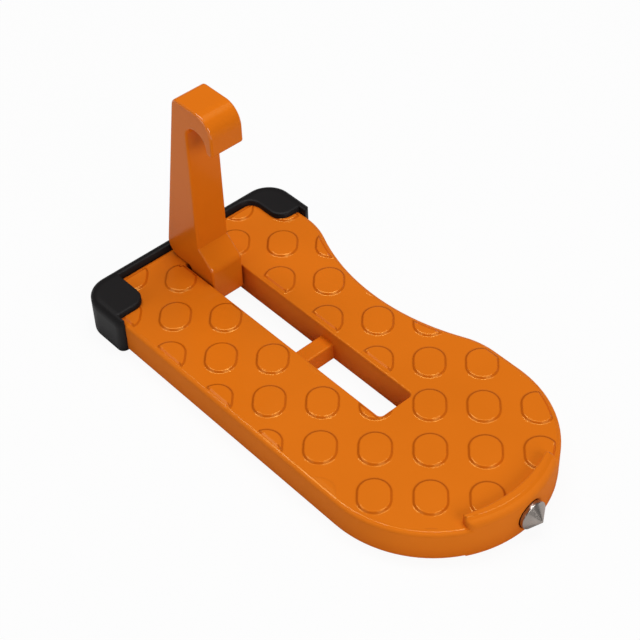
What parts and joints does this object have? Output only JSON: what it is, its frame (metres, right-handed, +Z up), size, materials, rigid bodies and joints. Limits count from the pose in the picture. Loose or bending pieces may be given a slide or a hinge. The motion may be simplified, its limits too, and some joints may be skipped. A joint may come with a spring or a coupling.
{
  "type": "car door latch step",
  "caption": "Folding foot step that hooks over a car door striker: cast plate with raised treads and slot, folding hook, rubber end cap and a pointed steel tip.",
  "frame": {"origin": "bottom centre of the whole step: middle of its length, on the slot's axis, in the plane of the underside", "axes": "+X along the plate from the rubber end to the pointed tip, +Y to the side with the waist, +Z up from the deck towards the raised hook"},
  "size_m": [0.1614, 0.0808, 0.079],
  "materials": {
    "orange_paint": "gloss",
    "black_rubber": "satin",
    "bright_steel": "satin"
  },
  "bodies": {
    "step": {"step_plate": "orange_paint", "pivot_pin": "bright_steel", "rubber_bumper": "black_rubber", "hammer_tip": "bright_steel"},
    "hook": {"hook": "orange_paint"}
  },
  "joints": [
    {"name": "hook_fold", "type": "hinge", "parent": "step", "child": "hook", "pos_m": [-0.06125, 0, 0.0065], "axis": [0, 1, 0], "range_deg": [0, 90]}
  ]
}
